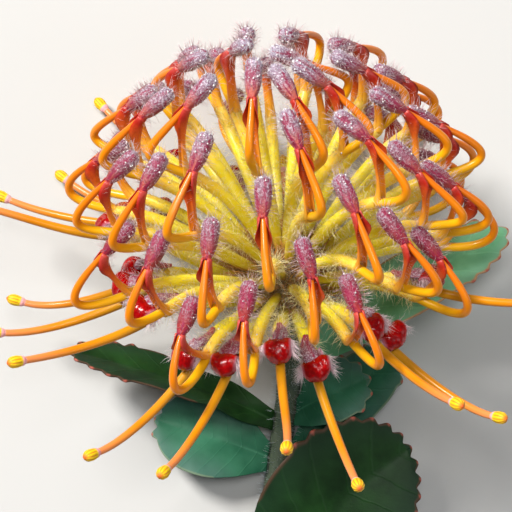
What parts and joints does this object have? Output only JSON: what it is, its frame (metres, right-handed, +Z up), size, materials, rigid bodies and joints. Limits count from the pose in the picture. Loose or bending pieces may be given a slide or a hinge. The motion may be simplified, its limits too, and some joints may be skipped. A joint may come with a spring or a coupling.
{
  "type": "pincushion protea flower",
  "caption": "Cut pincushion protea stem lying on a surface, its round orange flower head turned up, with blunt toothed leaves along the stem.",
  "frame": {"origin": "on the surface that the cut stem lies on, under the middle of the whole part's box", "axes": "+Y along the lying stem from its cut end towards the flower head, +Z up from the surface, +X to the right when looking along +Y"},
  "size_m": [0.1287, 0.1867, 0.0859],
  "materials": {
    "floret": "satin",
    "bract": "matte",
    "stem": "matte",
    "leaf_dark": "satin",
    "leaf_pale": "satin",
    "leaf_bright": "satin"
  },
  "bodies": {
    "root": {"flower_head": "floret", "involucre": "bract", "stem": "stem", "leaf_01": "leaf_dark", "leaf_02": "leaf_bright", "leaf_03": "leaf_pale", "leaf_04": "leaf_pale", "leaf_05": "leaf_dark", "leaf_06": "leaf_pale", "leaf_07": "leaf_dark", "leaf_08": "leaf_dark", "leaf_09": "leaf_dark"}
  },
  "joints": []
}
